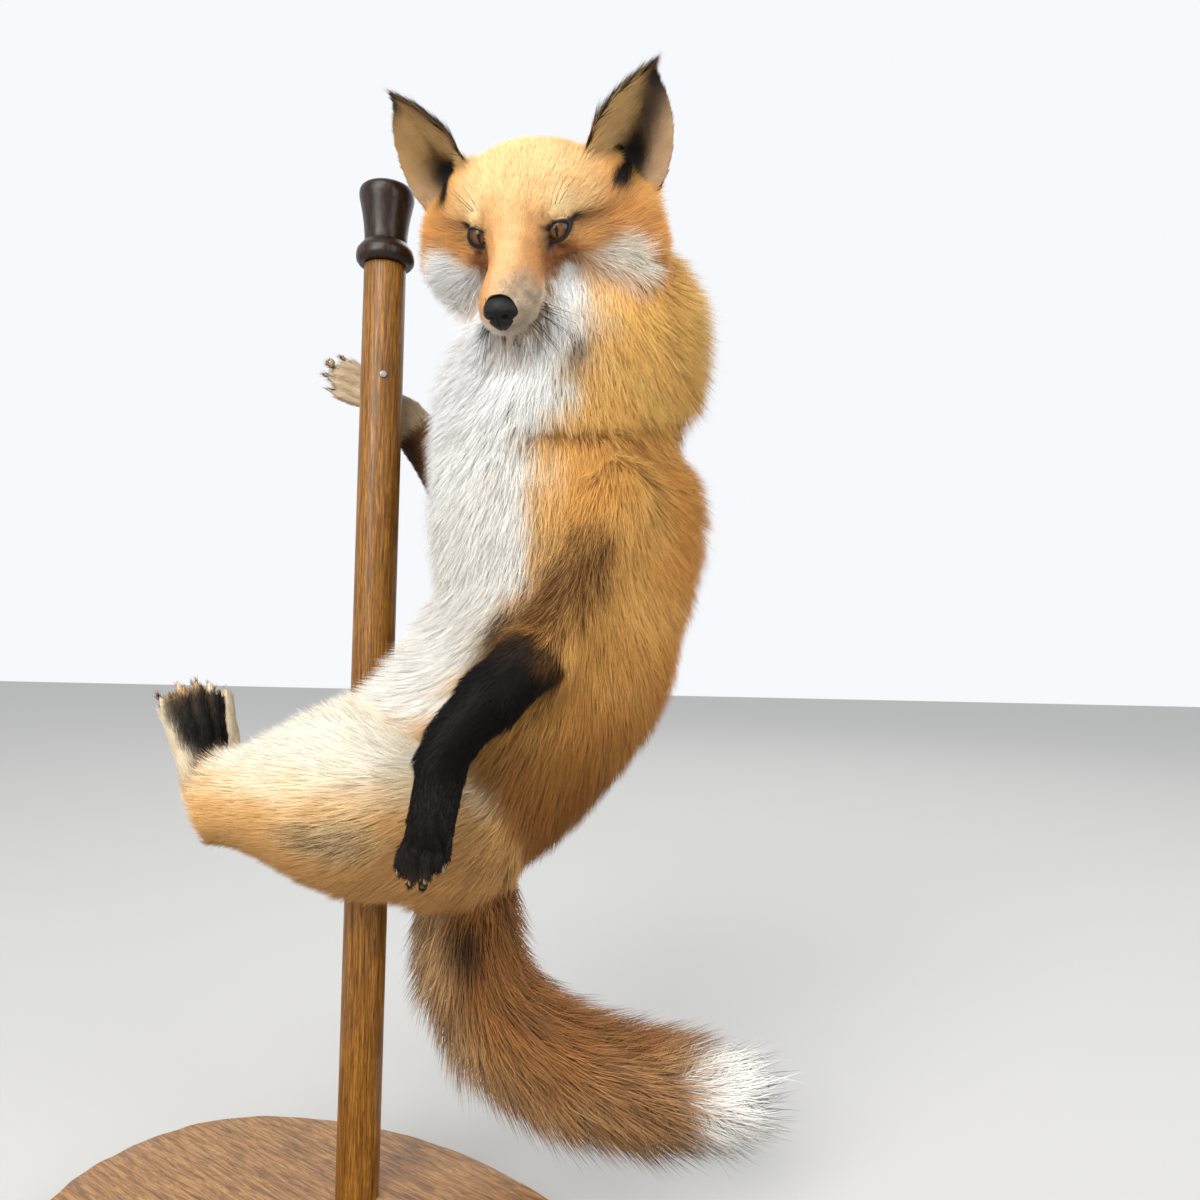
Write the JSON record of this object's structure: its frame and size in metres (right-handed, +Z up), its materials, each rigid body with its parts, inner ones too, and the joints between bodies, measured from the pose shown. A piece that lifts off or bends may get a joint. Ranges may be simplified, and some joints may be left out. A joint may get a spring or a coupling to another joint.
{
  "type": "taxidermy red fox on a stand",
  "caption": "Mounted red fox that sits up in the air and holds a turned wooden pole, on an oval live-edge wooden base.",
  "frame": {"origin": "on the underside of the base, on the axis of the pole", "axes": "+Z up along the pole, -Y towards the side that the fox's left flank and face show, +X towards the fox's back and the end of its tail"},
  "size_m": [0.5625, 0.3974, 0.8409],
  "materials": {
    "coat_orange": "long soft guard hairs over dense underfur, matt with a slight sheen",
    "coat_gold": "short dense fur, matt",
    "coat_white": "long soft white fur, matt",
    "coat_cream": "short cream fur, matt",
    "coat_black": "short black fur, matt",
    "nose_black": "pebbled black nose leather under a satin glaze",
    "claw_horn": "dark horn claws, smooth, semi-gloss",
    "eye_glass": "glossy amber-brown taxidermy glass with an upright slit pupil",
    "pole_wood": "medium brown stained dowel with fine lengthwise grain, satin varnish",
    "cap_wood": "dark brown stained turned wood, gloss varnish",
    "base_wood": "brown stained slab with grain, knots and drying cracks, satin varnish",
    "plug_metal": "small dull grey screw plug"
  },
  "bodies": {
    "root": {"chest": "coat_orange", "belly": "coat_orange", "rump": "coat_orange", "neck": "coat_orange", "head": "coat_gold", "muzzle": "coat_gold", "nose": "nose_black", "lower_jaw": "coat_white", "eye_left": "eye_glass", "eye_right": "eye_glass", "ear_left": "coat_orange", "ear_right": "coat_orange", "foreleg_left_upper": "coat_orange", "foreleg_left_forearm": "coat_black", "forepaw_left": "coat_black", "foreleg_right_upper": "coat_orange", "foreleg_right_forearm": "coat_orange", "forepaw_right": "coat_cream", "thigh_left": "coat_orange", "shank_left": "coat_orange", "hindfoot_left": "coat_black", "thigh_right": "coat_orange", "shank_right": "coat_orange", "hindfoot_right": "coat_black", "tail_base": "coat_orange", "tail_middle": "coat_orange", "tail_tip": "coat_white", "pole": "pole_wood", "collar": "cap_wood", "cap": "cap_wood", "base": "base_wood"}
  },
  "joints": []
}
